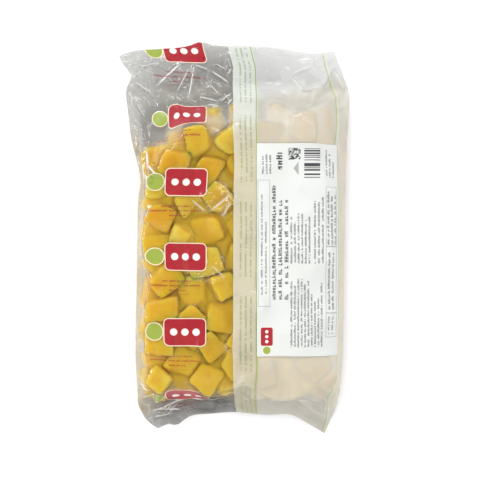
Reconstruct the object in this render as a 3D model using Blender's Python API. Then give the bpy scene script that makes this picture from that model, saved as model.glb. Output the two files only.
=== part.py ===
"""A sealed pillow bag of diced mango, lying flat with its lap-sealed back up, and the paper label on it.

The bag is one solid, the outer form of its film: drawn over a heap of dice that lie two deep, slack and
empty above the heap, and pressed flat at the two heat-sealed ends, whose corners stand out as ears. The
label is a thin solid on the film. Lengths are in millimetres until the meshes are made.
"""

import math
import random

import bmesh
import bpy
import numpy as np

MM = 0.001

# Outline of the filled bag, seen from above: x at a height y up each side, y at a place x across each end
LEFT_SIDE = ((-168.5, -66.9), (-161.5, -76.5), (-150.9, -82.2), (-129.8, -84.7), (-45.0, -85.4),
             (2.0, -84.5), (38.0, -83.6), (49.7, -81.8), (65.6, -84.5), (86.7, -89.8), (108.0, -92.5),
             (132.0, -94.3), (144.8, -90.6), (152.0, -96.5), (160.6, -101.2))
RIGHT_SIDE = ((-173.8, 81.0), (-161.5, 86.2), (-150.9, 89.8), (-135.0, 93.3), (-108.0, 95.6),
              (-45.0, 97.0), (40.0, 98.6), (76.0, 99.6), (103.0, 101.2), (129.0, 101.2),
              (144.8, 95.9), (155.3, 92.0), (164.6, 88.9))
TOP_END = ((-101.2, 160.6), (-93.0, 164.1), (-66.0, 166.8), (-38.0, 170.6), (-29.9, 173.8),
           (-20.0, 171.6), (10.0, 170.4), (32.0, 169.2), (52.0, 165.4), (70.0, 162.6), (88.9, 164.6))
BOTTOM_END = ((-66.9, -168.5), (-57.0, -164.4), (-51.0, -165.9), (-41.0, -159.2), (-20.0, -156.3),
              (1.8, -154.4), (30.0, -156.2), (52.0, -156.8), (66.0, -164.6), (81.0, -173.8))
BODY_ENDS = (-157.0, 167.0)   # where the ends would lie if they were straight
BODY_WIDTH = 182.0            # from side to side, away from the ends
END_FADE = 62.0               # how far into the bag an end's own shape is felt

# How the film stands between the table and the heap
SIDE_HEIGHT = 16.0            # height of the widest line of the bag's side
SIDE_ROUND_TOP = 20.0         # reach of the round shoulder over that line
SIDE_ROUND_BOTTOM = 12.0      # reach of the round below it
SEAL_BAND = 13.0              # heat-sealed band at each end
SEAL_THICKNESS = 0.9          # both films and their crimps
TOP_SEAL = (11.0, 1.15, 0.10)      # a sealed end's height, the waves across it and where they start
BOTTOM_SEAL = (5.5, 1.40, 0.33)
SEAL_WAVE = 4.5               # how far a sealed end waves up and down
TOP_SLOPE = 52.0              # slack film between the top seal and the heap
TOP_FULLNESS = 0.75           # below 1 the slack film bulges, above 1 it sags
TOP_SETTLE = 50.0             # length over which the side line comes down to the top seal
BOTTOM_SLOPE = 17.0           # steep end of the heap above the bottom seal
BOTTOM_SETTLE = 31.5          # length over which the side line comes down to the bottom end

# The dice
DICE = 104
DICE_SEED = 5
DICE_WIDE = (21.0, 31.0)      # least and greatest edge of a die lying on its broad side
DICE_THICK = (18.0, 25.0)
DICE_ROUNDING = 0.16          # share of an edge taken by its rounding
DICE_TURN = 45.0              # most turn about the vertical, in degrees
DICE_TILT = 26.0              # most lean of a top face, in degrees
DICE_SINK = 5.0               # most that a die lies below the film, in the upper layer
DICE_SPACING = 29.0           # from one middle to the next, where there is room
DICE_CORNER = 0.96            # how much of a die's reach is left by its rounded corners
DICE_LEAN = 0.65              # how much of its width a leaning die adds to its height
SETTLING = 400                # rounds of pushing apart
PUSH = 0.2                    # share of an overlap that a round takes away
HEAP_SIDES = (-83.0, 92.0)
HEAP_ENDS = (-142.0, 124.0)
HEAP_CORNER = (-24.0, 0.8)    # left of this x the heap's top end falls away, at this slope
HEAP_LEAN = 0.45              # how far the heap's top end leans back, for each height over the table
HEAP_HEIGHT = 48.0
HEAP_ROUND = 0.25             # how much the heap's sides draw in, for each height off their widest line

# The film over the dice
FILM_SLOPE = 0.72             # fall of the film away from a die
LABEL_SLOPE = 0.34            # the same under the stiffer label
LABEL_MARGIN = 9.0            # how far round the label its stiffness is felt
FILM_SOFTNESS = 1.5           # how softly two slopes run together
FILM_FLOOR = 27.0             # height of the film over a gap in the heap

# Large folds, from one end of a crest to the other, with its height and half width
FOLDS = (((-47.0, 156.0), (-69.0, 134.0), 2.6, 5.0), ((-40.0, 156.0), (-43.0, 124.0), 2.2, 4.5),
         ((-33.0, 157.0), (0.0, 137.0), 1.8, 5.5), ((40.0, 156.0), (66.0, 128.0), 2.4, 6.0),
         ((-74.0, -152.0), (-36.0, -138.0), 2.6, 4.0), ((70.0, -154.0), (44.0, -134.0), 2.2, 5.0))

# The lap seal down the back, and the label
LAP = (0.456, 0.511)          # its two edges, as shares of the way across
LAP_STEP = 0.5
LABEL_ACROSS = (0.573, 0.950)
LABEL_ENDS = (-104.3, 84.5)
LABEL_GAP = 0.35
LABEL_THICKNESS = 0.4

GRID_STEP = 5.5               # distance along the film between grid lines
FINE = 400                    # samples of a section while its grid lines are placed
SAME = 1e-6                   # two shares this close are one


def through(stations, at):
    """A smooth curve through (place, value) stations, read at the places given."""
    places, values = np.array(stations, float).T
    slopes = np.gradient(values, places)
    at = np.clip(at, places[0], places[-1])
    i = np.clip(np.searchsorted(places, at, side="right") - 1, 0, len(places) - 2)
    span = places[i + 1] - places[i]
    f = (at - places[i]) / span
    rise = values[i + 1] - values[i]
    return (values[i] + rise * f * f * (3 - 2 * f)
            + span * f * (1 - f) * (slopes[i] * (1 - f) - slopes[i + 1] * f))


def eased(value, low, high):
    """0 up to low, 1 from high on, and smooth between them."""
    f = np.clip((value - low) / (high - low), 0.0, 1.0)
    return f * f * (3 - 2 * f)


def shoulder(distance, reach):
    """The round rise of the film from an edge, from 0 there to 1 at its reach."""
    return np.sqrt(1 - (1 - np.clip(distance / reach, 0, 1)) ** 2)


def end_shape(stations, across, level):
    """How far a sealed end departs from its level at shares of the way across it."""
    left, right = stations[0][0], stations[-1][0]
    return through(stations, left + across * (right - left)) - level


def plan(across, up):
    """(x, y) of the film, seen from above, at shares of the way across and up the bag."""
    bottom, top = BODY_ENDS
    level = bottom + up * (top - bottom)
    near_bottom = 1 - eased(level, bottom, bottom + END_FADE)
    near_top = eased(level, top - END_FADE, top)

    def y_at(share):
        return (level + near_bottom * end_shape(BOTTOM_END, share, bottom)
                + near_top * end_shape(TOP_END, share, top))

    left, right = through(LEFT_SIDE, y_at(0.0)), through(RIGHT_SIDE, y_at(1.0))
    return left + across * (right - left), y_at(across)


def share_up(y):
    """Share of the way up the bag at a height y in its body."""
    return (y - BODY_ENDS[0]) / (BODY_ENDS[1] - BODY_ENDS[0])


def settled(reach, stand, ceiling, draw):
    """Middles of the dice: thrown in at random, then pushed apart until they lie side by side."""
    room = (HEAP_SIDES, HEAP_ENDS, (0.0, HEAP_HEIGHT))
    x, y, z = (np.array([draw.uniform(*ends) for _ in range(DICE)]) for ends in room)
    start, slope = HEAP_CORNER
    for _ in range(SETTLING):
        apart = np.stack([places[:, None] - places for places in (x, y, z)])
        distance = np.sqrt((apart ** 2).sum(0)) + DICE_SPACING * np.eye(DICE)
        push = (apart * np.clip(DICE_SPACING / distance - 1, 0, None) * PUSH).sum(2)
        z = np.clip(z + push[2], stand, ceiling)
        inset = reach + HEAP_ROUND * np.abs(z - SIDE_HEIGHT)
        heap_top = HEAP_ENDS[1] - slope * np.clip(start - x, 0, None) - HEAP_LEAN * z
        y = np.clip(y + push[1], HEAP_ENDS[0] + inset, heap_top - inset)
        x = np.clip(x + push[0], HEAP_SIDES[0] + inset, HEAP_SIDES[1] - inset)
    return np.stack([x, y, z], -1)


def dice():
    """The dice, each as (place of its middle, edges, turn, lean of its top face)."""
    draw = random.Random(DICE_SEED)
    edges = np.array([[draw.uniform(*ends) for ends in (DICE_WIDE, DICE_WIDE, DICE_THICK)]
                      for _ in range(DICE)])
    turns = np.array([math.radians(draw.uniform(-DICE_TURN, DICE_TURN)) for _ in range(DICE)])
    tilts = np.array([math.radians(draw.uniform(0, DICE_TILT)) for _ in range(DICE)])
    headings = np.array([draw.uniform(0, 2 * math.pi) for _ in range(DICE)])
    sinks = np.array([draw.uniform(0, DICE_SINK) for _ in range(DICE)])
    stand = (edges[:, 2] * np.cos(tilts) + (edges[:, 0] + edges[:, 1]) * np.sin(tilts) * DICE_LEAN) / 2
    reach = (edges[:, 0] * np.cos(turns) + edges[:, 1] * np.abs(np.sin(turns))) / 2 * DICE_CORNER
    places = settled(reach, stand, HEAP_HEIGHT - stand - sinks, draw)
    leans = np.tan(tilts)[:, None] * np.stack([np.cos(headings), np.sin(headings)], -1)
    return list(zip(places, edges, turns, leans))


def draped(x, y, across, laid):
    """Height of the film laid over the dice, by a soft maximum of what each die holds up."""
    stiff = (eased(across, LABEL_ACROSS[0] - LABEL_MARGIN / BODY_WIDTH, LABEL_ACROSS[0])
             * eased(y, LABEL_ENDS[0] - LABEL_MARGIN, LABEL_ENDS[0])
             * (1 - eased(y, LABEL_ENDS[1], LABEL_ENDS[1] + LABEL_MARGIN)))
    slope = FILM_SLOPE + (LABEL_SLOPE - FILM_SLOPE) * stiff
    total = np.exp((FILM_FLOOR - SIDE_HEIGHT) / FILM_SOFTNESS) * np.ones(x.shape)
    for place, size, turn, lean in laid:
        dx, dy = x - place[0], y - place[1]
        along = dx * math.cos(turn) + dy * math.sin(turn)
        aside = dy * math.cos(turn) - dx * math.sin(turn)
        face = 0.5 - DICE_ROUNDING
        near = [np.clip(way, -face * edge, face * edge) for way, edge in ((along, size[0]), (aside, size[1]))]
        away = np.hypot(along - near[0], aside - near[1])
        held = place[2] + size[2] / 2 + lean[0] * near[0] + lean[1] * near[1] - slope * away
        total += np.exp((held - SIDE_HEIGHT) / FILM_SOFTNESS)
    return SIDE_HEIGHT + FILM_SOFTNESS * np.log(total)


def folded(x, y):
    """Height that the large folds add to the film."""
    added = np.zeros(x.shape)
    for (x0, y0), (x1, y1), height, half_width in FOLDS:
        length = math.hypot(x1 - x0, y1 - y0)
        along = ((x - x0) * (x1 - x0) + (y - y0) * (y1 - y0)) / length
        aside = ((x - x0) * (y1 - y0) - (y - y0) * (x1 - x0)) / length
        inside = np.clip(np.minimum(along, length - along) / (length / 2), 0, 1)
        added += height * np.sqrt(inside) * np.exp(-(aside / half_width) ** 2)
    return added


def film(across, up, laid):
    """(upper points, lower points) of the bag's film at shares of the way across and up it."""
    x, y = plan(across, up)
    edges = [plan(np.full(up.shape, side), up)[0] for side in (0.0, 1.0)]
    ends = [plan(across, np.full(across.shape, end))[1] for end in (0.0, 1.0)]
    from_side = np.minimum(x - edges[0], edges[1] - x)
    from_bottom, from_top = y - ends[0], ends[1] - y
    past_bottom, past_top = from_bottom - SEAL_BAND, from_top - SEAL_BAND

    top_end, bottom_end = (height + SEAL_WAVE * np.sin(2 * math.pi * (waves * across + start))
                           for height, waves, start in (TOP_SEAL, BOTTOM_SEAL))
    line = SIDE_HEIGHT + (top_end - SIDE_HEIGHT) * (1 - eased(past_top, 0, TOP_SETTLE))
    line += (bottom_end - SIDE_HEIGHT) * (1 - eased(from_bottom, SEAL_BAND / 2, BOTTOM_SETTLE))

    round_top, round_bottom = shoulder(from_side, SIDE_ROUND_TOP), shoulder(from_side, SIDE_ROUND_BOTTOM)
    bottom_slope = shoulder(past_bottom, BOTTOM_SLOPE)
    body = eased(past_top, 0, TOP_SLOPE) ** TOP_FULLNESS * bottom_slope
    loose = eased(np.minimum(past_top, past_bottom), 0, SEAL_BAND / 3)
    rise = ((draped(x, y, across, laid) - line) * body + folded(x, y) * loose) * round_top
    drop = line * round_bottom * eased(past_top, 0, TOP_SETTLE) * bottom_slope
    off_rim = np.clip(np.minimum(np.minimum(from_bottom, from_top), from_side), 0, 1)
    least = SEAL_THICKNESS / 2 * off_rim
    lap = LAP_STEP * off_rim * ((across > LAP[0] - SAME) & (across < LAP[1] - SAME))
    upper = line + np.maximum(rise, least) + lap
    lower = np.maximum(line - np.maximum(drop, least), 0)
    return np.stack([x, y, upper], -1), np.stack([x, y, lower], -1)


def spaced(keys, line_of):
    """Grid lines through the keys, about GRID_STEP apart as measured along the film."""
    lines = []
    for start, end in zip(keys, keys[1:]):
        shares = np.linspace(start, end, FINE)
        steps = np.linalg.norm(np.diff(line_of(shares), axis=0), axis=1)
        length = np.concatenate([[0.0], np.cumsum(steps)])
        count = max(1, round(length[-1] / GRID_STEP))
        lines += list(np.interp(np.linspace(0, length[-1], count + 1)[:-1], length, shares))
    return np.array(lines + [keys[-1]])


def grid_lines(laid):
    """Shares across and up the bag for the grid, with a line on each edge of lap, label and seals."""
    half = np.full(FINE, 0.5)
    columns = spaced((0.0, *LAP, *LABEL_ACROSS, 1.0), lambda shares: film(shares, half, [])[0])
    band = SEAL_BAND / (BODY_ENDS[1] - BODY_ENDS[0])
    label_up = [share_up(y) for y in LABEL_ENDS]
    rows = spaced((0.0, band, *label_up, 1 - band, 1.0), lambda shares: film(half, shares, laid)[0])
    return columns, rows


def add_sheet(made, points, turned, facing_up):
    """Adds a grid of points to a mesh as triangles; a cell is split from its first corner, or its second."""
    corners = [[made.verts.new(point * MM) for point in row] for row in points]
    for i, j in np.ndindex(len(corners) - 1, len(corners[0]) - 1):
        ring = [corners[i][j], corners[i][j + 1], corners[i + 1][j + 1], corners[i + 1][j]]
        if turned[i, j]:
            ring = ring[1:] + ring[:1]
        for triangle in ((ring[0], ring[1], ring[2]), (ring[0], ring[2], ring[3])):
            made.faces.new(triangle if facing_up else triangle[::-1])


def add_object(name, made, colour, roughness):
    """Turns a mesh into a named object with its own material."""
    mesh = bpy.data.meshes.new(name)
    made.to_mesh(mesh)
    made.free()
    mesh.shade_smooth()
    material = bpy.data.materials.new(name)
    material.use_nodes = True
    shader = material.node_tree.nodes["Principled BSDF"]
    shader.inputs["Base Color"].default_value = (*colour, 1.0)
    shader.inputs["Roughness"].default_value = roughness
    shader.inputs["Metallic"].default_value = 0.0
    mesh.materials.append(material)
    added = bpy.data.objects.new(name, mesh)
    bpy.context.scene.collection.objects.link(added)
    return added


def add_bag(upper, lower, turned):
    """The filled bag: an upper and a lower film that are one at their rim."""
    made = bmesh.new()
    add_sheet(made, upper, turned, facing_up=True)
    add_sheet(made, lower, turned, facing_up=False)
    bmesh.ops.remove_doubles(made, verts=made.verts, dist=0.01 * MM)
    add_object("bag", made, (0.86, 0.72, 0.30), 0.25)


def add_label(under, turned):
    """The label: the film's own surface raised by a gap, and thickened."""
    made = bmesh.new()
    add_sheet(made, under + np.array([0.0, 0.0, LABEL_GAP]), turned, facing_up=True)
    label = add_object("label", made, (0.93, 0.93, 0.91), 0.5)
    thickness = label.modifiers.new("thickness", "SOLIDIFY")
    thickness.thickness = LABEL_THICKNESS * MM
    thickness.offset = 1.0


def build():
    for old in list(bpy.data.objects):
        bpy.data.objects.remove(old)
    laid = dice()
    columns, rows = grid_lines(laid)
    across, up = np.meshgrid(columns, rows)
    upper, lower = film(across, up, laid)
    middle = 0.5 * (upper.min((0, 1)) + upper.max((0, 1))) * (1, 1, 0)
    upper, lower = upper - middle, lower - middle
    turned = (across < 0.5) != (up < 0.5)
    add_bag(upper, lower, turned)

    on_label = [[k for k, share in enumerate(lines) if low - SAME < share < high + SAME]
                for lines, (low, high) in ((rows, map(share_up, LABEL_ENDS)), (columns, LABEL_ACROSS))]
    patch = np.ix_(*on_label)
    add_label(upper[patch], turned[patch])


build()
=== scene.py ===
import math
import random

import bmesh
import bpy
import numpy as np
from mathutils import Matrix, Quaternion, Vector
from mathutils.bvhtree import BVHTree


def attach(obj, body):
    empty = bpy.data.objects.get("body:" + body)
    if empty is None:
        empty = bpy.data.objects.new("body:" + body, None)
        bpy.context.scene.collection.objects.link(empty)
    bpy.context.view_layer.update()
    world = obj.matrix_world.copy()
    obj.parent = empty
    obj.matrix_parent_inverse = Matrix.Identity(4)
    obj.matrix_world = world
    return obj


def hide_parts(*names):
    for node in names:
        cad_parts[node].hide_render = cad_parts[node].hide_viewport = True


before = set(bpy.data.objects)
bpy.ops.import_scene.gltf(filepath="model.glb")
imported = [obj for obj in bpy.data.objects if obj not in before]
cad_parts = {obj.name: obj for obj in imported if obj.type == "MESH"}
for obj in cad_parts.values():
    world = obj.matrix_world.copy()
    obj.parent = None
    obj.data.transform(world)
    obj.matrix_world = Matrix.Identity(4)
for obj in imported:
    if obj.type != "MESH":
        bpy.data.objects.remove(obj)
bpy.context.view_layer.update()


# The dice. Ripe mango cut into blocks 21 to 31 mm across and 18 to 25 mm thick, and frozen loose: flat
# cut faces with soft edges, and here and there a corner missing where the cut ran off the fruit. They lie
# two deep in the bag.

DICE = 104
DICE_SEED = 5
DICE_WIDE = (0.021, 0.031)     # least and greatest edge of a die lying on its broad side
DICE_THICK = (0.018, 0.025)
DICE_TURN = 45.0               # most turn about the vertical, in degrees
DICE_TILT = 26.0
DICE_SINK = 0.005
DICE_SPACING = 0.0290
DICE_CORNER = 0.96             # how much of a die's reach is left by its rounded corners
DICE_LEAN = 0.65               # how much of its width a leaning die adds to its height
SETTLING = 400
PUSH = 0.2
HEAP_SIDES = (-0.083, 0.092)
HEAP_ENDS = (-0.142, 0.124)
HEAP_CORNER = (-0.024, 0.8)    # left of the first, the heap's top end falls away at the second
HEAP_LEAN = 0.45               # how far the top end leans back, for its height
HEAP_HEIGHT = 0.048
HEAP_ROUND = 0.25              # how far the heap draws in above and below its widest height
SIDE_HEIGHT = 0.016
CUT_SHAPES = 14
CUT_ROUNDNESS = 7.5            # the higher, the sharper the edges
CUT_SKEW = 0.13
LOWEST = 0.0010                # what would lie lower than the film under the dice is levelled off


def settled(reach, stand, ceiling, draw):
    """Middles of the dice: thrown in at random, then pushed apart until they lie side by side."""
    room = (HEAP_SIDES, HEAP_ENDS, (0.0, HEAP_HEIGHT))
    x, y, z = (np.array([draw.uniform(*ends) for _ in range(DICE)]) for ends in room)
    start, slope = HEAP_CORNER
    for _ in range(SETTLING):
        apart = np.stack([places[:, None] - places for places in (x, y, z)])
        distance = np.sqrt((apart ** 2).sum(0)) + DICE_SPACING * np.eye(DICE)
        push = (apart * np.clip(DICE_SPACING / distance - 1, 0, None) * PUSH).sum(2)
        z = np.clip(z + push[2], stand, ceiling)
        inset = reach + HEAP_ROUND * np.abs(z - SIDE_HEIGHT)
        heap_top = HEAP_ENDS[1] - slope * np.clip(start - x, 0, None) - HEAP_LEAN * z
        y = np.clip(y + push[1], HEAP_ENDS[0] + inset, heap_top - inset)
        x = np.clip(x + push[0], HEAP_SIDES[0] + inset, HEAP_SIDES[1] - inset)
    return np.stack([x, y, z], -1)


def lay_dice():
    """(places, edges, turns) of the dice."""
    draw = random.Random(DICE_SEED)
    edges = np.array([[draw.uniform(*ends) for ends in (DICE_WIDE, DICE_WIDE, DICE_THICK)]
                      for _ in range(DICE)])
    turns = np.array([math.radians(draw.uniform(-DICE_TURN, DICE_TURN)) for _ in range(DICE)])
    tilts = np.array([math.radians(draw.uniform(0, DICE_TILT)) for _ in range(DICE)])
    headings = [draw.uniform(0, 2 * math.pi) for _ in range(DICE)]
    sinks = np.array([draw.uniform(0, DICE_SINK) for _ in range(DICE)])
    stand = (edges[:, 2] * np.cos(tilts) + (edges[:, 0] + edges[:, 1]) * np.sin(tilts) * DICE_LEAN) / 2
    reach = (edges[:, 0] * np.cos(turns) + edges[:, 1] * np.abs(np.sin(turns))) / 2 * DICE_CORNER
    places = settled(reach, stand, HEAP_HEIGHT - stand - sinks, draw)
    laid = [Quaternion((math.sin(heading), -math.cos(heading), 0), tilt) @ Quaternion((0, 0, 1), turn)
            for turn, tilt, heading in zip(turns, tilts, headings)]
    return places, edges, [way.to_euler() for way in laid]


def cut_shape(draw):
    """A die one unit wide: a ball pressed out to six skewed faces and the cuts that ran off the fruit."""
    normals, reaches = [], []
    for axis in range(3):
        for side in (-1, 1):
            normal = Vector((0, 0, 0))
            normal[axis] = side
            normals.append(normal + Vector([draw.gauss(0, CUT_SKEW) for _ in range(3)]))
            reaches.append(0.5)
    for _ in range(draw.choice((0, 1, 2, 2))):
        corner = Vector([draw.choice((-1, 1)), draw.choice((-1, 1)), draw.choice((-1, 0, 1))])
        normals.append(corner + Vector([draw.gauss(0, 0.25) for _ in range(3)]))
        reaches.append(draw.uniform(0.55, 0.64))
    made = bmesh.new()
    bmesh.ops.create_icosphere(made, subdivisions=4, radius=1.0)
    for vertex in made.verts:
        ways = [max(0.0, normal.normalized().dot(vertex.co)) / reach
                for normal, reach in zip(normals, reaches)]
        vertex.co /= sum(way ** CUT_ROUNDNESS for way in ways) ** (1 / CUT_ROUNDNESS)
    for axis in range(3):
        reach = [vertex.co[axis] for vertex in made.verts]
        for vertex in made.verts:
            vertex.co[axis] = (vertex.co[axis] - min(reach)) / (max(reach) - min(reach)) - 0.5
    mesh = bpy.data.meshes.new("cut")
    made.to_mesh(mesh)
    made.free()
    return bpy.data.objects.new("cut", mesh)


class Socket:
    """A node's output. Sums on it add Math nodes to its tree."""

    def __init__(self, tree, output):
        self.tree, self.output = tree, output

    def maths(self, operation, *terms):
        return add_node(self.tree, "ShaderNodeMath", {"operation": operation}, dict(enumerate(terms)))

    def of(self, operation, *terms):
        return self.maths(operation, self, *terms)

    def __add__(self, other):
        return self.of("ADD", other)

    def __sub__(self, other):
        return self.of("SUBTRACT", other)

    def __rsub__(self, other):
        return self.maths("SUBTRACT", other, self)

    def __mul__(self, other):
        return self.of("MULTIPLY", other)

    def __truediv__(self, other):
        return self.of("DIVIDE", other)

    def __abs__(self):
        return self.of("ABSOLUTE")

    __radd__ = __add__
    __rmul__ = __mul__

    def least(self, other):
        return self.of("MINIMUM", other)

    def most(self, other):
        return self.of("MAXIMUM", other)

    def fade(self, low, high):
        """0 below low, 1 above high, and smooth between; falling where low is the greater."""
        return add_node(self.tree, "ShaderNodeMapRange", {"interpolation_type": "SMOOTHSTEP"},
                        {"Value": self, "From Min": low, "From Max": high})


def add_node(tree, kind, settings=None, sockets=None, output=0):
    """Adds a node of a kind, makes its settings, then fills or links its sockets. Returns one output."""
    node = tree.nodes.new(kind)
    for name, value in (settings or {}).items():
        if name == "stops":
            ramp = node.color_ramp.elements
            while len(ramp) < len(value):
                ramp.new(1.0)
            for stop, (position, colour) in zip(ramp, value):
                stop.position = position
                stop.color = (*colour, 1.0)
        else:
            setattr(node, name, value)
    for name, value in (sockets or {}).items():
        if isinstance(value, Socket):
            tree.links.new(value.output, node.inputs[name])
        else:
            node.inputs[name].default_value = value
    return Socket(tree, node.outputs[output]) if len(node.outputs) else None


def new_material(name):
    """(material, its node tree) with no nodes yet."""
    material = bpy.data.materials.new(name)
    material.use_nodes = True
    material.node_tree.nodes.clear()
    return material, material.node_tree


def surfaced(tree, shader):
    """Makes a shader the surface of its material."""
    add_node(tree, "ShaderNodeOutputMaterial", None, {"Surface": shader})


def noise(tree, place, scale, detail=2.0, output=0, **settings):
    """Noise round 0.5 at so many lumps a metre."""
    return add_node(tree, "ShaderNodeTexNoise", settings,
                    {"Vector": place, "Scale": scale, "Detail": detail}, output)


def mixed(tree, share, first, second, kind="MIX"):
    """One colour into another by a share."""
    return add_node(tree, "ShaderNodeMix", {"data_type": "RGBA", "blend_type": kind},
                    {0: share, 6: first, 7: second}, output=2)


# Flesh: deep yellow, uneven from die to die and over each die, a little clear, with a fine fibre and a
# thin bloom of frost in patches.
flesh, tree = new_material("mango_flesh")
place = add_node(tree, "ShaderNodeTexCoord", output="Object")
tint = add_node(tree, "ShaderNodeAttribute", {"attribute_name": "tint"}, output="Fac")
patches = noise(tree, place, 70.0, 3.0)
fibre = noise(tree, place, 900.0, 4.0)
shade = tint * 0.75 + (patches - 0.5) * 0.9 + 0.12
flesh_colour = add_node(tree, "ShaderNodeValToRGB", {"stops": (
    (0.0, (0.72, 0.40, 0.016)), (0.35, (0.75, 0.46, 0.022)), (0.65, (0.76, 0.50, 0.032)),
    (1.0, (0.80, 0.58, 0.080)))}, {"Fac": shade})
frost = (patches.fade(0.52, 0.72) * fibre.fade(0.45, 0.7)) * 0.16
flesh_colour = mixed(tree, frost, flesh_colour, (0.96, 0.90, 0.66, 1.0))
grain = add_node(tree, "ShaderNodeBump", None, {"Strength": 0.25, "Distance": 0.0006, "Height": fibre})
shader = add_node(tree, "ShaderNodeBsdfPrincipled", {"subsurface_method": "RANDOM_WALK"}, {
    "Base Color": flesh_colour, "Roughness": patches * 0.3 + 0.27, "Normal": grain,
    "Subsurface Weight": 1.0, "Subsurface Radius": (1.0, 0.65, 0.15), "Subsurface Scale": 0.020,
    "IOR": 1.38})
surfaced(tree, shader)

# The points, with what each die needs
places, edges, turns = lay_dice()
points = bpy.data.meshes.new("dice_points")
points.from_pydata(places, [], [])
draw = random.Random(DICE_SEED + 1)
for name, kind, field, values in (
        ("edges", "FLOAT_VECTOR", "vector", edges), ("turn", "FLOAT_VECTOR", "vector", turns),
        ("tint", "FLOAT", "value", [draw.uniform(0.0, 1.0) for _ in places])):
    attribute = points.attributes.new(name, kind, "POINT")
    attribute.data.foreach_set(field, np.array(values, np.float32).ravel())
dice_points = bpy.data.objects.new("dice_points", points)
bpy.context.scene.collection.objects.link(dice_points)
cuts = bpy.data.collections.new("cuts")
draw = random.Random(DICE_SEED + 2)
for _ in range(CUT_SHAPES):
    cuts.objects.link(cut_shape(draw))

# The tree that sets the dice
setting = bpy.data.node_groups.new("set_dice", "GeometryNodeTree")
named_inputs = (("Points", "NodeSocketGeometry"), ("Cuts", "NodeSocketCollection"),
                ("Dent", "NodeSocketFloat"), ("Dents per Metre", "NodeSocketFloat"),
                ("Seed", "NodeSocketInt"), ("Flesh", "NodeSocketMaterial"))
for name, kind in named_inputs:
    setting.interface.new_socket(name, in_out="INPUT", socket_type=kind)
setting.interface.new_socket("Dice", in_out="OUTPUT", socket_type="NodeSocketGeometry")
given = setting.nodes.new("NodeGroupInput")
given = {name: Socket(setting, given.outputs[name]) for name, _ in named_inputs}
named = {name: add_node(setting, "GeometryNodeInputNamedAttribute", {"data_type": "FLOAT_VECTOR"},
                        {"Name": name}) for name in ("edges", "turn")}
cut_shapes = add_node(setting, "GeometryNodeCollectionInfo", None, {
    "Collection": given["Cuts"], "Separate Children": True, "Reset Children": True})
which = add_node(setting, "FunctionNodeRandomValue", {"data_type": "INT"}, {
    4: 0, 5: CUT_SHAPES - 1, 8: given["Seed"]}, output=2)
stood = add_node(setting, "GeometryNodeInstanceOnPoints", None, {
    "Points": given["Points"], "Instance": cut_shapes, "Pick Instance": True, "Instance Index": which,
    "Rotation": named["turn"], "Scale": named["edges"]})
real = add_node(setting, "GeometryNodeRealizeInstances", None, {"Geometry": stood})
where = add_node(setting, "GeometryNodeInputPosition")
dents = add_node(setting, "ShaderNodeTexNoise", None, {
    "Vector": where, "Scale": given["Dents per Metre"], "Detail": 3.0}, output="Color")
centred = add_node(setting, "ShaderNodeVectorMath", {"operation": "SUBTRACT"}, {
    0: dents, 1: (0.5, 0.5, 0.5)})
moved = add_node(setting, "ShaderNodeVectorMath", {"operation": "SCALE"}, {
    0: centred, "Scale": given["Dent"]})
dented = add_node(setting, "GeometryNodeSetPosition", None, {"Geometry": real, "Offset": moved})
parts = [add_node(setting, "ShaderNodeSeparateXYZ", None, {"Vector": where}, output)
         for output in range(3)]
levelled = add_node(setting, "ShaderNodeCombineXYZ", None, {
    "X": parts[0], "Y": parts[1], "Z": parts[2].most(LOWEST)})
dented = add_node(setting, "GeometryNodeSetPosition", None, {"Geometry": dented, "Position": levelled})
smooth = add_node(setting, "GeometryNodeSetShadeSmooth", None, {"Geometry": dented})
finished = add_node(setting, "GeometryNodeSetMaterial", None, {
    "Geometry": smooth, "Material": given["Flesh"]})
result = setting.nodes.new("NodeGroupOutput")
setting.links.new(finished.output, result.inputs["Dice"])


def realised(source, group, inputs, name):
    """The plain mesh that a node group makes of an object, in a new object."""
    modifier = source.modifiers.new(name, "NODES")
    modifier.node_group = group
    for item in group.interface.items_tree:
        if item.in_out == "INPUT" and item.name in inputs:
            modifier[item.identifier] = inputs[item.name]
    evaluated = source.evaluated_get(bpy.context.evaluated_depsgraph_get())
    made = bpy.data.objects.new(name, bpy.data.meshes.new_from_object(evaluated))
    bpy.context.scene.collection.objects.link(made)
    bpy.data.objects.remove(source)
    return made


dice = realised(dice_points, setting, {
    "Cuts": cuts, "Dent": 0.0050, "Dents per Metre": 85.0, "Seed": 4, "Flesh": flesh}, "mango_dice")
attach(dice, "root")


# The film. One clear tube of film, heat-sealed flat at both ends, lies over and under the dice. Its rim
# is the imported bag's own. The upper half is let down on the dice as an inextensible sheet a little too
# large for them, so that what is left over gathers into folds; the lower half lies on the table.

COLUMNS, ROWS = 184, 312
COARSE = 4                    # the first fall is worked out on every fourth line of the film
SEAL_BAND = 0.013
CLEARANCE = 0.0005
UNDERSIDE = 0.0002            # height of the film on the table
RAY_STEP = 0.0011
ROUNDS = {4: 900, 2: 500, 1: 260}
FALL = {4: 0.000020, 2: 0.000010, 1: 0.000005}
STIFFNESS = {4: 0.05, 2: 0.10, 1: 0.20}
PAPER_STIFFNESS = 0.10        # how much flatter each round leaves the film under the label
PUFF = 0.008                  # how far the film starts over its last place
SLACK_TOP, SLACK_BOTTOM, SLACK_SIDE = 0.06, 0.05, 0.02
TOP_REACH, BOTTOM_REACH, SIDE_REACH = 0.07, 0.05, 0.03
STIFF_SIDES, STIFF_ENDS, STIFF_FADE = (0.004, 0.095), (-0.110, 0.105), 0.012
HAZE_AND_GLOW_GAP = 0.007           # how far off the dice the film has its fullest haze and painted glow
HAZE_AND_GLOW_HEAP = 0.006          # where the heap is lower than half of this, the film is clear, with no haze or painted glow
CRUMPLE_AT_END, CRUMPLE_LEAST, CRUMPLE_REACH = 1.8, 0.10, 0.040
BOTTOM_SHORTER = 1.8          # how much less far the crumpling reaches at the bottom end


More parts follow.
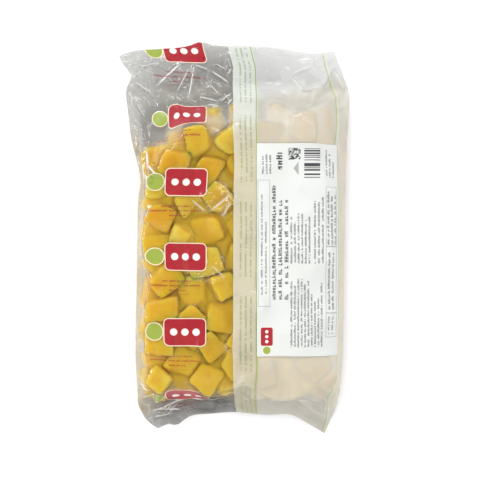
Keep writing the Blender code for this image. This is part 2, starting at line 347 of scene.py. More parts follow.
def merged_copy(node):
    """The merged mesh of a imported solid."""
    made = bmesh.new()
    made.from_mesh(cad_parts[node].data)
    bmesh.ops.remove_doubles(made, verts=made.verts, dist=1e-6)
    made.normal_update()
    return made


def rim_of(made):
    """The loop of points where a solid's faces turn from up to down, in order."""
    rim = [edge for edge in made.edges if len(edge.link_faces) == 2
           and (edge.link_faces[0].normal.z > 0) != (edge.link_faces[1].normal.z > 0)]
    beside = {}
    for edge in rim:
        for here, there in (edge.verts, reversed(edge.verts)):
            beside.setdefault(here, []).append(there)
    start = rim[0].verts[0]
    loop, last = [start], None
    while True:
        onward = [v for v in beside[loop[-1]] if v != last]
        last = loop[-1]
        if onward[0] == start:
            break
        loop.append(onward[0])
    return np.array([vertex.co for vertex in loop])


def sides_of(loop):
    """The rim cut at its four ears into bottom, right, top and left, each from left to right or upwards."""
    ears = [int(np.argmax(loop[:, 0] * 0.5 * side + loop[:, 1] * end))
            for side, end in ((-1, -1), (1, -1), (1, 1), (-1, 1))]
    turned = np.roll(loop, -ears[0], axis=0)
    at = [(ear - ears[0]) % len(loop) for ear in ears]
    if at[1] > at[2]:
        turned = np.roll(turned[::-1], 1, axis=0)
        at = [(-place) % len(loop) for place in at]
    ends = at + [len(loop)]
    turned = np.concatenate([turned, turned[:1]])
    bottom, right, top, left = (turned[ends[k]:ends[k + 1] + 1] for k in range(4))
    return bottom, right, top[::-1], left[::-1]


def spread(line, count):
    """So many points, evenly along a line of points."""
    length = np.concatenate([[0], np.cumsum(np.linalg.norm(np.diff(line, axis=0), axis=1))])
    at = np.linspace(0, length[-1], count)
    return np.stack([np.interp(at, length, line[:, k]) for k in range(3)], -1)


def spanned(bottom, right, top, left):
    """The grid of points spanned by four sides."""
    u = np.linspace(0, 1, COLUMNS + 1)[None, :, None]
    v = np.linspace(0, 1, ROWS + 1)[:, None, None]
    ruled = (1 - v) * bottom[None] + v * top[None] + (1 - u) * left[:, None] + u * right[:, None]
    corners = ((1 - v) * ((1 - u) * bottom[0] + u * bottom[-1]) + v * ((1 - u) * top[0] + u * top[-1]))
    return ruled - corners


def cast_heights(tree_of_faces, x, y, start, way, missed):
    """Heights where upright rays meet a surface."""
    heights = np.full(x.shape, missed)
    for index in np.ndindex(x.shape):
        hit = tree_of_faces.ray_cast(Vector((x[index], y[index], start)), Vector((0, 0, way)))[0]
        if hit:
            heights[index] = hit.z
    return heights


def neighbours(grid):
    """The average of the four points round each inner point of a grid."""
    return (grid[:-2, 1:-1] + grid[2:, 1:-1] + grid[1:-1, :-2] + grid[1:-1, 2:]) / 4


def smoothed(grid, rounds, keep):
    """The grid with each point that isn't kept drawn to its neighbours' average."""
    grid = grid.copy()
    for _ in range(rounds):
        grid[1:-1, 1:-1] = np.where(keep[1:-1, 1:-1], grid[1:-1, 1:-1], neighbours(grid))
    return grid


def joined(grid, down, over, shift):
    """The two ends of every other link of a grid that goes so many lines down and over."""
    rows, columns = grid.shape[:2]
    if down:
        first = grid[shift:rows - down:2]
        second = grid[shift + down::2][:len(first)]
        if over > 0:
            return first[:, :-over], second[:, over:]
        if over < 0:
            return first[:, -over:], second[:, :over]
        return first, second
    first = grid[:, shift:columns - over:2]
    return first, grid[:, shift + over::2][:, :first.shape[1]]


LINKS = ((1, 0), (0, 1), (1, 1), (1, -1))


def bend(film, held, stiffness):
    """Takes sharp ripples out of the film, and leaves its wider folds."""
    curl = np.zeros_like(film)
    curl[1:-1, 1:-1] = neighbours(film) - film[1:-1, 1:-1]
    change = neighbours(curl) - curl[1:-1, 1:-1]
    film[1:-1, 1:-1] -= change * stiffness * held[1:-1, 1:-1]


def drop(film, flat_lengths, loose, stiffness, under_paper, heap, rounds, fall):
    """Lets the film fall on the heap, held to its own lengths."""
    held = np.where(loose, 1.0, 0.0)[..., None]
    for _ in range(rounds):
        film[..., 2] -= fall * held[..., 0]
        for (down, over), lengths in zip(LINKS, flat_lengths):
            for shift in (0, 1):
                a, b = joined(film, down, over, shift)
                free_a, free_b = joined(held, down, over, shift)
                length = joined(lengths, down, over, shift)[0]
                apart = b - a
                distance = np.sqrt((apart * apart).sum(-1, keepdims=True))
                share = np.where(free_a + free_b > 0, 1 / np.maximum(free_a + free_b, 1), 0)
                move = apart * (1 - length[..., None] / np.maximum(distance, 1e-9)) * share
                a += move * free_a
                b -= move * free_b
        bend(film, held, stiffness)
        film[1:-1, 1:-1] += (neighbours(film) - film[1:-1, 1:-1]) * under_paper[1:-1, 1:-1]
        heap.lift(film, held)
    return film


def widened(heights):
    """Each height with the greatest of those beside it."""
    rows, columns = heights.shape
    beside = np.pad(heights, 1, mode="edge")
    return np.max([beside[i:i + rows, j:j + columns] for i in range(3) for j in range(3)], axis=0)


class Heap:
    """The dice, from above and from below, as heights on a square grid for the film to lie on."""

    def __init__(self, dice_object, bag_faces, low, high):
        self.origin = low[:2]
        self.count = np.ceil((high[:2] - low[:2]) / RAY_STEP).astype(int) + 1
        x, y = (self.origin[k] + RAY_STEP * np.arange(self.count[k]) for k in range(2))
        x, y = np.meshgrid(x, y, indexing="ij")
        faces = BVHTree.FromPolygons([v.co for v in dice_object.data.vertices],
                                     [p.vertices for p in dice_object.data.polygons])
        under_dice = -widened(-cast_heights(faces, x, y, -0.1, 1, 1.0)) - CLEARANCE
        under_bag = cast_heights(bag_faces, x, y, -0.1, 1, 0.0)
        self.under = np.maximum(np.minimum(under_bag, under_dice), UNDERSIDE)
        self.over = np.maximum(widened(cast_heights(faces, x, y, 0.2, -1, 0.0)), self.under + CLEARANCE)
        self.slopes = np.gradient(self.over, RAY_STEP)

    def read(self, fields, film):
        """The fields' values at the places of the film's points."""
        grid = np.clip((film[..., :2] - self.origin) / RAY_STEP, 0, self.count - 1.001)
        i, j = np.moveaxis(np.floor(grid).astype(int), -1, 0)
        f, g = grid[..., 0] - i, grid[..., 1] - j
        return [(field[i, j] * (1 - f) + field[i + 1, j] * f) * (1 - g)
                + (field[i, j + 1] * (1 - f) + field[i + 1, j + 1] * f) * g for field in fields]

    def lift(self, film, held):
        """Pushes what has sunk into the heap, or into the film under it, out again."""
        height, slope_x, slope_y = self.read((self.over, *self.slopes), film)
        depth = np.maximum(height + CLEARANCE - film[..., 2], 0)
        slope_x, slope_y = np.clip(slope_x, -2, 2), np.clip(slope_y, -2, 2)
        steep = 1 + slope_x ** 2 + slope_y ** 2
        film += np.stack([-slope_x, -slope_y, np.ones_like(depth)], -1) * (depth / steep)[..., None] * held


solid = merged_copy("bag")
rim = sides_of(rim_of(solid))
bottom, right, top, left = (spread(side, count + 1)
                            for side, count in zip(rim, (COLUMNS, ROWS, COLUMNS, ROWS)))
pillow = spanned(bottom, right, top, left)
solid_faces = BVHTree.FromBMesh(solid)
on_rim = np.ones(pillow.shape[:2], bool)
on_rim[1:-1, 1:-1] = False
upper_heights = cast_heights(solid_faces, pillow[..., 0], pillow[..., 1], 0.2, -1, 0.0)
from_bottom = np.linalg.norm(pillow[..., :2] - bottom[None, :, :2], axis=-1)
from_top = np.linalg.norm(pillow[..., :2] - top[None, :, :2], axis=-1)
from_sides = np.minimum(np.linalg.norm(pillow[..., :2] - left[:, None, :2], axis=-1),
                        np.linalg.norm(pillow[..., :2] - right[:, None, :2], axis=-1))
in_seal = np.minimum(from_bottom, from_top) < SEAL_BAND
pinned = on_rim | in_seal
pillow[..., 2] = np.where(on_rim, pillow[..., 2], upper_heights)
pillow[..., 2] = smoothed(pillow[..., 2], 120, pinned)
flat = pillow.copy()


def near(distance, reach):
    """1 at no distance, falling to 0 at the reach."""
    return np.clip(1 - distance / reach, 0, 1) ** 2


past_stiff = [np.maximum(ends[0] - flat[..., axis], flat[..., axis] - ends[1])
              for axis, ends in enumerate((STIFF_SIDES, STIFF_ENDS))]
by_paper = np.clip(1 - np.maximum(*past_stiff) / STIFF_FADE, 0, 1)
slack = 1 + (SLACK_TOP * near(from_top - SEAL_BAND, TOP_REACH)
             + SLACK_BOTTOM * near(from_bottom - SEAL_BAND, BOTTOM_REACH)
             + SLACK_SIDE * near(from_sides, SIDE_REACH))
heap = Heap(dice, solid_faces, pillow.min((0, 1)) - 0.01, pillow.max((0, 1)) + 0.01)
film = pillow[::COARSE, ::COARSE].copy()
rattle = np.random.RandomState(3)
loose = ~pinned[::COARSE, ::COARSE]
film[..., 2] += (PUFF + rattle.uniform(-0.0006, 0.0006, film.shape[:2])) * loose
step = COARSE
while True:
    sheet, spare = flat[::step, ::step], slack[::step, ::step]
    lengths = []
    for down, over in LINKS:
        reach = np.zeros(sheet.shape[:2])
        rows, columns = reach.shape
        first = (slice(0, rows - down), slice(max(0, -over), columns - max(0, over)))
        second = (slice(down, rows), slice(max(0, over), columns - max(0, -over)))
        reach[first] = np.linalg.norm(sheet[second] - sheet[first], axis=-1) * spare[first]
        lengths.append(reach)
    drop(film, lengths, ~pinned[::step, ::step], STIFFNESS[step],
         by_paper[::step, ::step, None] * PAPER_STIFFNESS, heap, ROUNDS[step], FALL[step])
    if step == 1:
        break
    step //= 2
    finer = np.zeros((ROWS // step + 1, COLUMNS // step + 1, 3))
    finer[::2, ::2] = film
    finer[1::2, ::2] = (film[1:] + film[:-1]) / 2
    finer[:, 1::2] = (finer[:, 2::2] + finer[:, :-2:2]) / 2
    keep = pinned[::step, ::step]
    finer[keep] = pillow[::step, ::step][keep]
    film = finer

# Sharp folds, each from one end of its crest to the other, with its height and half width
FOLDS = (
    ((-0.045, 0.156), (-0.069, 0.134), 0.0026, 0.0030),
    ((-0.039, 0.151), (-0.051, 0.128), 0.0022, 0.0026),
    ((-0.035, 0.153), (-0.040, 0.124), 0.0024, 0.0026),
    ((-0.085, 0.151), (-0.064, 0.155), 0.0014, 0.0024),
    ((-0.037, 0.154), (-0.021, 0.149), 0.0016, 0.0028),
    ((-0.021, 0.149), (-0.003, 0.137), 0.0018, 0.0028),
    ((-0.017, 0.155), (-0.006, 0.149), 0.0014, 0.0022),
    ((-0.022, 0.137), (-0.013, 0.127), 0.0018, 0.0022),
    ((-0.009, 0.129), (-0.003, 0.120), 0.0016, 0.0018),
    ((0.050, 0.145), (0.069, 0.152), 0.0014, 0.0026),
    ((0.062, 0.130), (0.051, 0.142), 0.0020, 0.0030),
    ((0.062, 0.130), (0.078, 0.135), 0.0016, 0.0026),
    ((0.061, 0.114), (0.071, 0.119), 0.0012, 0.0022),
    ((0.088, 0.148), (0.097, 0.132), 0.0022, 0.0024),
    ((0.000, 0.040), (-0.021, 0.023), 0.0014, 0.0042),
    ((-0.037, 0.034), (-0.023, 0.022), 0.0010, 0.0030),
    ((-0.002, 0.032), (-0.010, 0.018), 0.0014, 0.0042),
    ((-0.020, -0.022), (-0.008, -0.034), 0.0010, 0.0026),
    ((-0.073, -0.153), (-0.040, -0.139), 0.0030, 0.0034),
    ((-0.040, -0.139), (-0.026, -0.143), 0.0020, 0.0026),
    ((-0.084, -0.126), (-0.073, -0.132), 0.0020, 0.0024),
    ((-0.082, -0.140), (-0.066, -0.134), 0.0014, 0.0024),
    ((-0.066, -0.150), (-0.046, -0.152), 0.0026, 0.0030),
    ((-0.072, -0.158), (-0.054, -0.155), 0.0020, 0.0024),
    ((-0.026, -0.143), (-0.006, -0.140), 0.0014, 0.0022),
    ((-0.058, -0.134), (-0.046, -0.145), 0.0018, 0.0022),
    ((-0.088, 0.139), (-0.072, 0.128), 0.0016, 0.0026),
    ((-0.030, 0.125), (-0.012, 0.120), 0.0020, 0.0024),
    ((-0.086, 0.120), (-0.078, 0.106), 0.0012, 0.0022),
    ((-0.060, 0.146), (-0.052, 0.135), 0.0012, 0.0020),
    ((0.031, -0.144), (0.050, -0.140), 0.0014, 0.0034),
    ((0.050, -0.140), (0.068, -0.144), 0.0014, 0.0034),
    ((-0.012, 0.120), (-0.002, 0.129), 0.0022, 0.0024),
    ((-0.006, 0.117), (-0.001, 0.124), 0.0022, 0.0022),
    ((-0.024, 0.118), (-0.012, 0.116), 0.0018, 0.0024),
    ((-0.036, 0.112), (-0.026, 0.117), 0.0016, 0.0024),
    ((-0.0760, 0.077), (-0.0742, 0.059), 0.0026, 0.0034),
    ((-0.0745, 0.064), (-0.066, 0.053), 0.0028, 0.0034),
    ((-0.0775, 0.056), (-0.071, 0.047), 0.0022, 0.0028),
    ((-0.0795, 0.066), (-0.078, 0.050), 0.0018, 0.0024))
# Crumpled patches: middle and reach, across and up the bag
CRUMPLED = ((-0.079, 0.058, 0.012, 0.030), (-0.012, 0.032, 0.018, 0.014), (-0.020, -0.028, 0.015, 0.013))
HIGHEST_FOLD = 0.0030
HAZE_AND_GLOW = 0.36                  # how much haze and painted glow the film gets where it bridges the dice


def folded(x, y):
    """(height that the sharp folds add, place across the nearest one in half widths, how sharp it is)."""
    added, off_crest, along_crest = np.zeros(x.shape), np.full(x.shape, 99.0), np.zeros(x.shape)
    for (x0, y0), (x1, y1), height, half_width in FOLDS:
        length = math.hypot(x1 - x0, y1 - y0)
        along = ((x - x0) * (x1 - x0) + (y - y0) * (y1 - y0)) / length
        aside = ((x - x0) * (y1 - y0) - (y - y0) * (x1 - x0)) / length / half_width
        inside = np.clip(np.minimum(along, length - along) / (length / 2), 0, 1)
        added += height * np.sqrt(inside) * np.exp(-2 * aside ** 2)
        nearer = (inside > 0) & (abs(aside) < abs(off_crest))
        off_crest = np.where(nearer, aside, off_crest)
        along_crest = np.where(nearer, np.minimum(inside * 2, 1) * height / HIGHEST_FOLD, along_crest)
    return added, off_crest, along_crest


fold_heights, off_crest, along_crest = folded(film[..., 0], film[..., 1])
heap_height = heap.read([heap.over], film)[0]
# How far the film stands off the dice: the mask of its haze and painted glow
bridging = np.clip((film[..., 2] - heap_height - CLEARANCE) / HAZE_AND_GLOW_GAP, 0, 1)
bridging = smoothed(bridging * np.clip(heap_height / HAZE_AND_GLOW_HEAP - 0.5, 0, 1), 4, on_rim)
from_crumpled = np.minimum(from_bottom * BOTTOM_SHORTER, from_top)
crumple = np.clip(CRUMPLE_AT_END - from_crumpled / CRUMPLE_REACH, CRUMPLE_LEAST, 1)
for middle_x, middle_y, reach_x, reach_y in CRUMPLED:
    off_patch = ((film[..., 0] - middle_x) / reach_x) ** 2 + ((film[..., 1] - middle_y) / reach_y) ** 2
    crumple = np.maximum(crumple, np.clip(2 - 2 * off_patch, 0, 1))
film[..., 2] += fold_heights * ~pinned
lower = pillow.copy()
lower[..., 2] = np.where(on_rim, pillow[..., 2], heap.read([heap.under], pillow)[0])

# Where the print lies on the film: up the bag by the way along the film, and across it halfway between
# that way and an even share of the width
across_share = np.linspace(0, 1, COLUMNS + 1)[None, :]
steps = np.linalg.norm(np.diff(flat, axis=1), axis=-1)
arc_across = np.pad(np.cumsum(steps, 1), ((0, 0), (1, 0)))
arc_across += flat[:, COLUMNS // 2, None, 0] - arc_across[:, COLUMNS // 2, None]
row = ROWS // 2
by_share = flat[row, 0, 0] + across_share * (flat[row, -1, 0] - flat[row, 0, 0])
steps = np.linalg.norm(np.diff(flat, axis=0), axis=-1)
arc_up = np.pad(np.cumsum(steps, 0), ((1, 0), (0, 0)))
arc_up += flat[row, None, :, 1] - arc_up[row, None, :]
print_place = np.stack([(arc_across + by_share) / 2, arc_up], -1)


def sheet_object(name, points, places, material, facing_up=True):
    """A sheet from a grid of points, with the place of each on the flat film or page as its UV map."""
    mesh = bpy.data.meshes.new(name)
    rows, columns = points.shape[:2]
    index = np.arange(rows * columns).reshape(rows, columns)
    quads = np.stack([index[:-1, :-1], index[:-1, 1:], index[1:, 1:], index[1:, :-1]], -1).reshape(-1, 4)
    if not facing_up:
        quads = quads[:, ::-1]
    mesh.from_pydata(points.reshape(-1, 3).tolist(), [], quads.tolist())
    corner = np.empty(len(mesh.loops), int)
    mesh.loops.foreach_get("vertex_index", corner)
    layer = mesh.uv_layers.new(name="flat")
    layer.data.foreach_set("uv", places.reshape(-1, 2)[corner].astype(np.float32).ravel())
    mesh.shade_smooth()
    mesh.materials.append(material)
    made = bpy.data.objects.new(name, mesh)
    bpy.context.scene.collection.objects.link(made)
    return made


def split_place(tree, place):
    """(x, y) of a place on the film or the label."""
    return [add_node(tree, "ShaderNodeSeparateXYZ", None, {"Vector": place}, axis) for axis in "XY"]


def ink_and_painted_light(tree, clear, mask, colour, bump, roughness=0.35):
    """A colour laid on the film where the mask is 1: ink for the print, and on the clear film also the
    painted glow, painted shade and painted highlights.
    """
    ink = add_node(tree, "ShaderNodeBsdfPrincipled", None, {
        "Base Color": colour, "Roughness": roughness, "Normal": bump})
    return add_node(tree, "ShaderNodeMixShader", None, {0: mask, 1: clear, 2: ink})


PUCKER_RELIEF, CREST_RELIEF, CRIMP_RELIEF, FACET_RELIEF = 0.0002, 0.0006, 0.00012, 1.3
INK_RELIEF = 0.12             # how much of the facets' relief is left under ink
CREST_SHINE, FLANK_SHADE, END_SHADE = 0.9, 0.35, 0.16


def film_material(name, clearness):
    """(material, tree, clear film shader with its haze, painted glow, painted shade and painted highlights,
    place on the flat film, bump of what is printed on it).
    """
    material, tree = new_material(name)
    flat_place = add_node(tree, "ShaderNodeTexCoord", output="UV")
    from_end, crumple, bridging, off_crest, along_crest = (
        add_node(tree, "ShaderNodeAttribute", {"attribute_name": field}, output="Fac")
        for field in ("from_end", "crumple", "bridging", "off_crest", "along_crest"))
    crest = abs(off_crest).fade(0.40, 0.04) * along_crest
    wandering = noise(tree, flat_place, 40.0, 2.0, output="Color")
    bent = add_node(tree, "ShaderNodeMix", {"data_type": "VECTOR"}, {
        0: 0.02, 4: flat_place, 5: wandering}, output=1)
    middle, tilt = (add_node(tree, "ShaderNodeTexVoronoi", None, {"Vector": bent, "Scale": 100.0}, output)
                    for output in ("Position", "Color"))
    off_middle = add_node(tree, "ShaderNodeVectorMath", {"operation": "SUBTRACT"}, {0: bent, 1: middle})
    tilt = add_node(tree, "ShaderNodeVectorMath", {"operation": "SUBTRACT"}, {0: tilt, 1: (0.5, 0.5, 0.5)})
    facet = add_node(tree, "ShaderNodeVectorMath", {"operation": "DOT_PRODUCT"}, {
        0: off_middle, 1: tilt}, output="Value") * crumple * FACET_RELIEF
    crimp = add_node(tree, "ShaderNodeTexWave", {"bands_direction": "Y"}, {
        "Vector": flat_place, "Scale": 130.0}, output="Fac")
    height = noise(tree, flat_place, 110.0, 3.0) * PUCKER_RELIEF + crest * CREST_RELIEF
    height = height + crimp * from_end.fade(SEAL_BAND, SEAL_BAND - 0.001) * CRIMP_RELIEF
    bump, ink_bump = (
        add_node(tree, "ShaderNodeBump", None, {"Strength": 1.0, "Distance": 1.0, "Height": relief})
        for relief in (height + facet, height + facet * INK_RELIEF))
    facing = add_node(tree, "ShaderNodeLayerWeight", None, {"Blend": 0.5, "Normal": bump}, output="Facing")
    edge_on = facing.of("POWER", 4.5) * 0.85 + 0.06
    see_through = add_node(tree, "ShaderNodeBsdfTransparent", None, {
        "Color": (clearness, clearness, clearness * 0.99, 1.0)})
    gloss = add_node(tree, "ShaderNodeBsdfGlossy", None, {"Roughness": 0.06, "Normal": bump})
    clear = add_node(tree, "ShaderNodeMixShader", None, {0: edge_on, 1: see_through, 2: gloss})
    up_the_bag = split_place(tree, flat_place)[1]
    # Where the film stands off the dice: real haze, and a painted glow that lightens the shaded gaps, amber
    # low down for light scattered through the mango, grey-white towards the top end
    haze_and_glow_colour = mixed(tree, up_the_bag.fade(0.070, 0.110),
                         (0.80, 0.52, 0.035, 1.0), (0.68, 0.68, 0.60, 1.0))
    clear = ink_and_painted_light(tree, clear, bridging * HAZE_AND_GLOW, haze_and_glow_colour, bump)
    # Painted shade darkens the bottom end and one flank of each fold, and a painted highlight runs along
    # each crest
    clear = ink_and_painted_light(tree, clear, up_the_bag.fade(-0.128, -0.150) * END_SHADE, (0.16, 0.15, 0.14, 1.0), bump)
    shaded = off_crest.fade(0.1, 0.5) * off_crest.fade(1.6, 0.7) * along_crest
    clear = ink_and_painted_light(tree, clear, shaded * FLANK_SHADE, (0.20, 0.20, 0.20, 1.0), bump)
    clear = ink_and_painted_light(tree, clear, crest * CREST_SHINE, (0.90, 0.90, 0.89, 1.0), bump)
    return material, tree, clear, flat_place, ink_bump


def within(value, low, high, soft=0.0002):
    """1 from low to high, and 0 outside."""
    half = (high - low) / 2
    return abs(value - (low + high) / 2).fade(half + soft, half - soft)


def rounded(u, v, middle, half, corner, soft):
    """1 in a box with rounded corners, and 0 outside."""
    over_u = (abs(u - middle[0]) - (half[0] - corner)).most(0.0)
    over_v = (abs(v - middle[1]) - (half[1] - corner)).most(0.0)
    away = over_u * over_u + over_v * over_v
    return away.of("SQRT").fade(corner + soft, corner - soft)


def badge(tree, along, upward, soft):
    """(where it is printed, its colour): a green disc beside a red field with three dots, in mm."""
    red, green = ((8.2, 0.0), (18.2, 12.0), 4.0), ((-18.9, 0.0), (7.5, 7.5), 7.5)
    cream = [rounded(along, upward, middle, (half[0] + CREAM, half[1] + CREAM), corner + CREAM, soft)
             for middle, half, corner in (red, green)]
    red, green = (rounded(along, upward, *field, soft) for field in (red, green))
    dots = sum(rounded(along, upward, (middle, 0.0), (DOT, DOT), DOT, soft) for middle in DOT_MIDDLES)
    colour = mixed(tree, red, (0.86, 0.74, 0.58, 1.0), (0.34, 0.014, 0.024, 1.0))
    colour = mixed(tree, green, colour, (0.28, 0.35, 0.055, 1.0))
    colour = mixed(tree, dots, colour, (0.85, 0.75, 0.70, 1.0))
    return cream[0].most(cream[1]), colour


def drawn_for(tree, x, y, z=0.0, output="Value"):
    """A random value, or three as a colour, for each cell."""
    cell = add_node(tree, "ShaderNodeCombineXYZ", None, {"X": x, "Y": y, "Z": z})
    return add_node(tree, "ShaderNodeTexWhiteNoise", {"noise_dimensions": "3D"}, {"Vector": cell}, output)


def dashes(tree, along, line, pitch, share, seed):
    """Short dashes along a line, on and off at random."""
    return drawn_for(tree, (along / pitch).of("FLOOR"), line, seed).of("LESS_THAN", share)


# The printed back: a clear window with a row of badges, each with a few short rules under it, and a white
# ground from the lap to the far side, edged by a pair of green rules
BADGE_MIDDLE = -0.0463
BADGE_PITCH = 0.0635
BADGE_SHIFT = -0.0156
CREAM = 0.7                   # width of the cream edge, in mm
DOT = 3.2                     # half width of a dot, in mm
DOT_MIDDLES = (-1.6, 8.2, 18.0)
RULES = ((0.0205, 0.0125), (0.0243, 0.0235), (0.0282, 0.0075), (0.0320, 0.0095))
WINDOW_EDGE = 0.0013
GREEN_RULE, PALE_RULE = (0.0832, 0.0839), (0.0847, 0.0857)
FAR_SPREAD = 0.0115           # how much farther out these rules run along the filled part
MM = 1000.0
BADGE_SCALE = 1.07 * MM

printed, tree, clear, flat_place, bump = film_material("printed_film", 0.88)
x, y = split_place(tree, flat_place)
aside = x - BADGE_MIDDLE
repeat = (y - BADGE_SHIFT).of("WRAP", BADGE_PITCH / 2, -BADGE_PITCH / 2)
on_badge, badge_colour = badge(tree, aside * BADGE_SCALE, repeat * BADGE_SCALE, 0.3)
rules = sum(within(aside, -half_length, half_length) * within(repeat + below, -0.0006, 0.0006)
            for below, half_length in RULES)
rules = rules * dashes(tree, x, 1.0, 0.0009, 0.80, 3.0)
white = x.fade(WINDOW_EDGE - 0.0002, WINDOW_EDGE + 0.0002)
far = x - y.fade(0.160, 0.085) * (y.fade(-0.150, -0.110) * 0.5 + 0.5) * FAR_SPREAD
filled = (y - x * 0.15).fade(0.138, 0.120)
# The white ground is warmer over the filled part: painted light from the mango shining back through the
# thin ink
ground_and_glow_colour = mixed(tree, filled, (0.70, 0.71, 0.70, 1.0), (0.66, 0.63, 0.55, 1.0))
clouding = noise(tree, flat_place, 25.0, 3.0)
shader = ink_and_painted_light(tree, clear, white * (clouding * 0.2 + 0.50), ground_and_glow_colour, bump)
shader = ink_and_painted_light(tree, shader, rules * 0.6, (0.30, 0.04, 0.03, 1.0), bump)
shader = ink_and_painted_light(tree, shader, within(far, *PALE_RULE) * 0.4, (0.62, 0.65, 0.36, 1.0), bump)
shader = ink_and_painted_light(tree, shader, within(far, *GREEN_RULE) * 0.75, (0.25, 0.36, 0.07, 1.0), bump)
shader = ink_and_painted_light(tree, shader, on_badge * 0.97, badge_colour, bump, 0.25)
surfaced(tree, shader)

plain, tree, clear, _, _ = film_material("plain_film", 0.66)
surfaced(tree, clear)

back = sheet_object("film_back", film, print_place, printed)
front = sheet_object("film_front", lower, print_place, plain, facing_up=False)
for piece, on_top in ((back, 1), (front, 0)):
    for field, values in (("from_end", np.minimum(from_bottom, from_top)), ("crumple", crumple),
                          ("bridging", bridging * on_top), ("off_crest", off_crest),
                          ("along_crest", along_crest * on_top)):
        attribute = piece.data.attributes.new(field, "FLOAT", "POINT")
        attribute.data.foreach_set("value", values.ravel().astype(np.float32))
    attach(piece, "root")
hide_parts("bag")


# The lap. One long edge of the film folded over the other and sealed down the back, in the same film,
# with the white ground and three lines of small green print. Its free edge stands a little proud.

LAP_EDGES = (0.0013, 0.0218)
LAP_COLUMNS = 14
LAP_LIFT = 0.0004
EDGE_LIFT = 0.0007
EDGE_WAVES = (95, 41)         # two waves of the free edge, in radians a metre
PRINT_MIDDLES = (0.0075, 0.0117, 0.0159)
PRINT_HALF_HEIGHT = 0.0007


def on_film(u, v):
    """Points of the relaxed film at places (u, v) on the flat film."""
    rows = np.interp(v, print_place[:, COLUMNS // 2, 1], np.arange(ROWS + 1))
    points = np.zeros(u.shape + (3,))
    for index in np.ndindex(u.shape[0]):
        level = rows[index][0]
        low = min(int(level), ROWS - 1)
        share = level - low
        line = film[low] * (1 - share) + film[low + 1] * share
        places = print_place[low, :, 0] * (1 - share) + print_place[low + 1, :, 0] * share
        column = np.interp(u[index], places, np.arange(COLUMNS + 1))
        for k in range(3):
            points[index][:, k] = np.interp(column, np.arange(COLUMNS + 1), line[:, k])
    return points


lap_v = print_place[:, COLUMNS // 2, 1]
places = np.stack(np.meshgrid(np.linspace(*LAP_EDGES, LAP_COLUMNS + 1), lap_v), -1)
points = on_film(places[..., 0], places[..., 1])
to_edge = 1 - np.linspace(0, 1, LAP_COLUMNS + 1)[None, :]
waver = 0.6 + 0.4 * (np.sin(lap_v * EDGE_WAVES[0]) * np.sin(lap_v * EDGE_WAVES[1] + 1))[:, None]
points[..., 2] += LAP_LIFT + EDGE_LIFT * to_edge ** 6 * waver
lap_film, tree, clear, flat_place, bump = film_material("lap_film", 0.92)
x, y = split_place(tree, flat_place)
print_lines = sum(within(x, middle - PRINT_HALF_HEIGHT, middle + PRINT_HALF_HEIGHT)
                  * dashes(tree, y, middle * MM, 0.0010, 0.75, 5.0) for middle in PRINT_MIDDLES)
gap = y.of("WRAP", 0.040, -0.040)
print_lines = print_lines * within(gap, -0.032, 0.032)
clouding = noise(tree, flat_place, 25.0, 3.0)
filled = y.fade(0.118, 0.070)
# The lap's white ground is warmer over the filled part: painted light from the mango shining back through
# the thin ink
lap_and_glow_colour = mixed(tree, filled, (0.76, 0.80, 0.74, 1.0), (0.72, 0.67, 0.50, 1.0))
shader = ink_and_painted_light(tree, clear, clouding * 0.4 + 0.38 - y.fade(-0.060, -0.100) * 0.14, lap_and_glow_colour, bump)
shader = ink_and_painted_light(tree, shader, print_lines * 0.5, (0.19, 0.25, 0.08, 1.0), bump)
shader = ink_and_painted_light(tree, shader, within(x, 0.0200, 0.0209) * 0.85, (0.22, 0.33, 0.05, 1.0), bump)
surfaced(tree, shader)
lap = sheet_object("lap", points, places, lap_film)
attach(lap, "root")


# The label. White paper stuck over the white ground, a little stiffer than the film, so that it bridges
# the dice. Its lines of print run up the bag.

LABEL_SIDES = (0.0198, 0.0905)
LABEL_ENDS = (-0.1015, 0.0820)
LABEL_COLUMNS, LABEL_ROWS = 72, 186
LABEL_GAP = 0.0006
PAPER = 0.0002
PAPER_SETTLING = 60
SHARP = 0.12                  # softness of the print's edges, in mm
LINES_OF_PRINT = (            # from, to, first line, from line to line, lines, height, letter, ragged share
    (53.0, 141.0, 4.2, 3.5, 2, 1.5, 1.25, 0.3), (49.0, 149.0, 14.6, 5.4, 3, 3.4, 2.7, 0.25),
    (8.0, 75.0, 29.6, 2.9, 10, 1.8, 1.05, 0.5), (80.0, 131.0, 29.6, 3.1, 6, 1.8, 1.05, 0.7),
    (80.0, 146.0, 49.8, 3.4, 3, 1.8, 1.1, 0.2), (96.0, 144.0, 61.4, 3.1, 3, 2.0, 1.15, 0.15),
    (40.0, 92.0, 62.2, 3.4, 2, 2.0, 1.15, 0.1), (18.5, 35.0, 61.8, 3.4, 2, 1.5, 1.05, 0.3),
    (157.0, 177.0, 5.0, 3.2, 3, 1.7, 1.05, 0.3), (154.0, 180.0, 60.0, 3.2, 3, 1.7, 1.05, 0.5),
    (161.0, 175.5, 19.3, 9.0, 1, 5.2, 4.7, 0.0))
BOXES = ((43.0, 152.0, 0.9, 11.3), (16.0, 37.5, 59.4, 69.2), (37.5, 94.5, 59.4, 69.2),
         (94.5, 146.0, 59.4, 69.2))
BOX_LINE = 0.35               # width of a box's line, in mm
SQUARE_CODE, SQUARE_CELLS, SQUARE_FILLED = (169.5, 179.5, 26.8, 37.6), (0.9, 0.9), 0.55
BAR_CODE, BAR_CELLS, BARS_FILLED = (153.0, 179.0, 40.8, 54.5), (0.75, 99.0), 0.6
ROOF_MIDDLE, ROOF_TOP, ROOF_BOTTOM, ROOF_SLOPE = 162.0, 31.4, 36.0, 0.75
SMALL_BADGE, SMALL_BADGE_SCALE = (13.5, 8.5), 2.3


